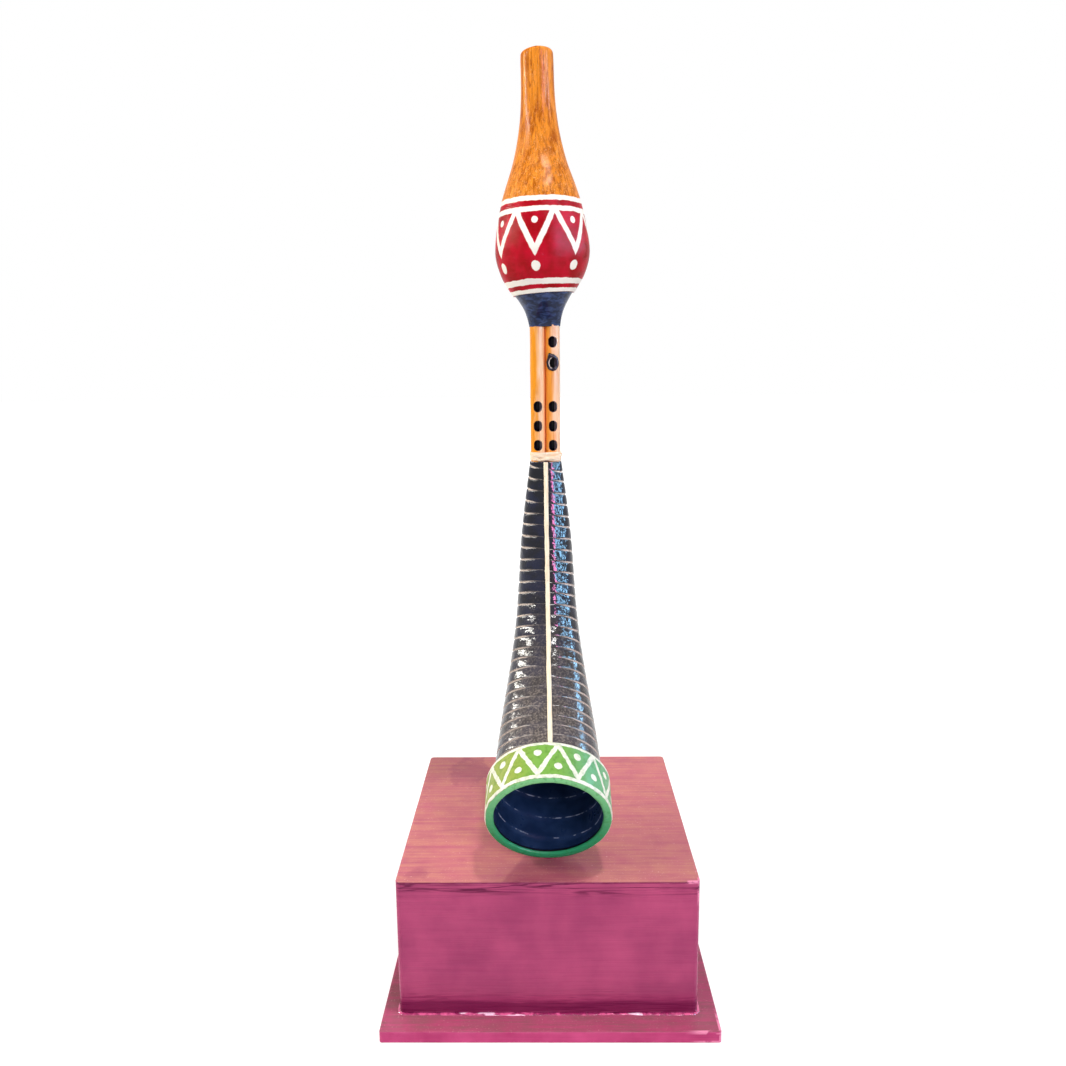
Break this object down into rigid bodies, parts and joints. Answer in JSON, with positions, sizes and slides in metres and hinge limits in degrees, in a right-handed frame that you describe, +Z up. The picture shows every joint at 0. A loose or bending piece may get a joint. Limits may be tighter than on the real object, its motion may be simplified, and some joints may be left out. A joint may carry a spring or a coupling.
{
  "type": "gourd hornpipe on a stand",
  "caption": "Gourd hornpipe showpiece: a painted gourd feeds reed pipes into a curved, leaf-wound horn whose green hooped bell rests on a painted wooden block and plinth.",
  "frame": {"origin": "middle of the plinth board's underside", "axes": "+Z up; the bell faces -Y; +X is to the viewer's right"},
  "size_m": [0.112, 0.118, 0.326],
  "materials": {
    "stand_paint": "brushed maroon-pink gloss paint on wood",
    "glue_line": "dried glue under the same paint",
    "hoop_paint": "green paint with a white zigzag and dots",
    "lining_leaf": "rolled leaf, lacquered black inside",
    "leaf_lacquer": "wound leaf under glossy black lacquer",
    "splint_bamboo": "bare bamboo splint",
    "black_wax": "hand-moulded dark wax, half gloss",
    "pipe_bamboo": "varnished bamboo with toned streaks",
    "lashing_cane": "split cane strand",
    "gourd_shell": "varnished shell with a red and white painted band",
    "reed_cane": "bare cane",
    "reed_thread": "bound thread"
  },
  "bodies": {
    "instrument": {"plinth_board": "stand_paint", "pedestal_block": "stand_paint", "foot_bead": "glue_line", "bell_glue_bed": "glue_line", "bell_hoop": "hoop_paint", "horn_lining": "lining_leaf", "leaf_strip_1": "leaf_lacquer", "leaf_strip_2": "leaf_lacquer", "leaf_strip_3": "leaf_lacquer", "leaf_strip_4": "leaf_lacquer", "leaf_strip_5": "leaf_lacquer", "leaf_strip_6": "leaf_lacquer", "horn_splint": "splint_bamboo", "horn_seal": "black_wax", "left_pipe": "pipe_bamboo", "right_pipe": "pipe_bamboo", "tuning_wax": "black_wax", "pipe_lashing": "lashing_cane", "wax_collar": "black_wax", "gourd": "gourd_shell", "left_reed": "reed_cane", "right_reed": "reed_cane", "left_thread": "reed_thread", "right_thread": "reed_thread"},
    "left_reed_tongue": {"left_tongue": "reed_cane"},
    "right_reed_tongue": {"right_tongue": "reed_cane"}
  },
  "joints": [
    {"name": "left_tongue_flex", "type": "hinge", "parent": "instrument", "child": "left_reed_tongue", "pos_m": [-0.00278, 0.01662, 0.251], "axis": [1, 0, 0], "range_deg": [-3, 5], "stiffness_Nm_per_rad": 0.005},
    {"name": "right_tongue_flex", "type": "hinge", "parent": "instrument", "child": "right_reed_tongue", "pos_m": [0.00278, 0.01662, 0.251], "axis": [1, 0, 0], "range_deg": [-3, 5], "stiffness_Nm_per_rad": 0.005}
  ]
}
